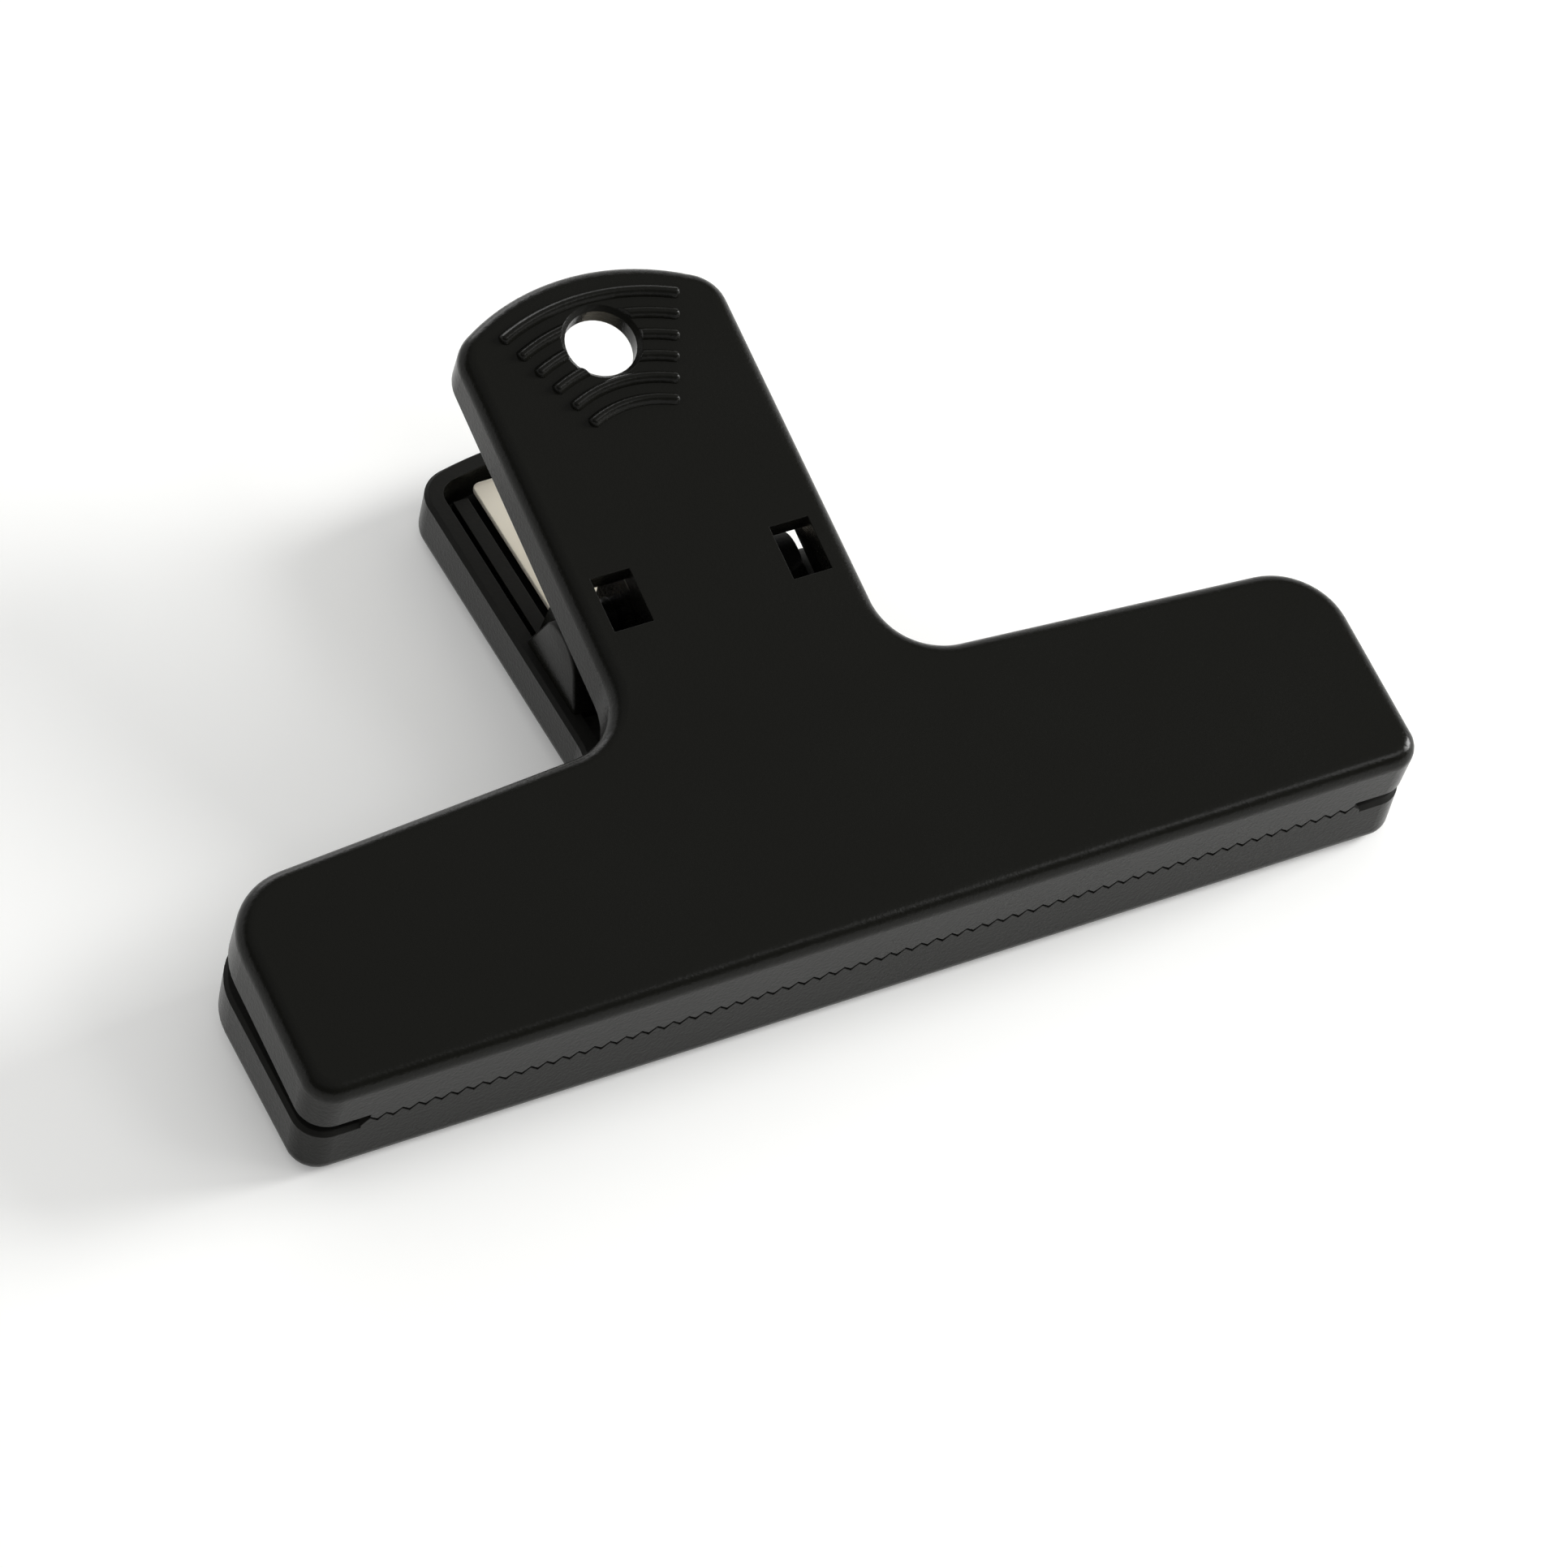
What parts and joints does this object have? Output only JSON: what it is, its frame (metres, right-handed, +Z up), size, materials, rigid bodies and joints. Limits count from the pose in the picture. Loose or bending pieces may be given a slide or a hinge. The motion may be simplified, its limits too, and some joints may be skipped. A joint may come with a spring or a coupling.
{
  "type": "bulldog clip",
  "caption": "T-shaped bulldog clip: two moulded plastic halves with meshing toothed jaws, hinged on stub pins and held shut by a hairpin leaf spring between the handles.",
  "frame": {"origin": "on the table, under the middle of the closed clip's overall length and width", "axes": "+X along the jaws, +Y from the mouth to the handle ends, +Z up out of the table"},
  "size_m": [0.102, 0.0636, 0.0249],
  "materials": {
    "black_plastic": "fine moulded texture, low sheen",
    "spring_steel": "nickel-plated strip"
  },
  "bodies": {
    "lower": {"lower_half": "black_plastic", "leaf_spring": "spring_steel"},
    "upper": {"upper_half": "black_plastic"}
  },
  "joints": [
    {"name": "jaw_hinge", "type": "hinge", "parent": "lower", "child": "upper", "pos_m": [0, 0.00635, 0.01053], "axis": [-1, 0, 0], "range_deg": [0, 33], "stiffness_Nm_per_rad": 0.6, "springref_deg": -28.65, "deforming": ["leaf_spring"]}
  ]
}
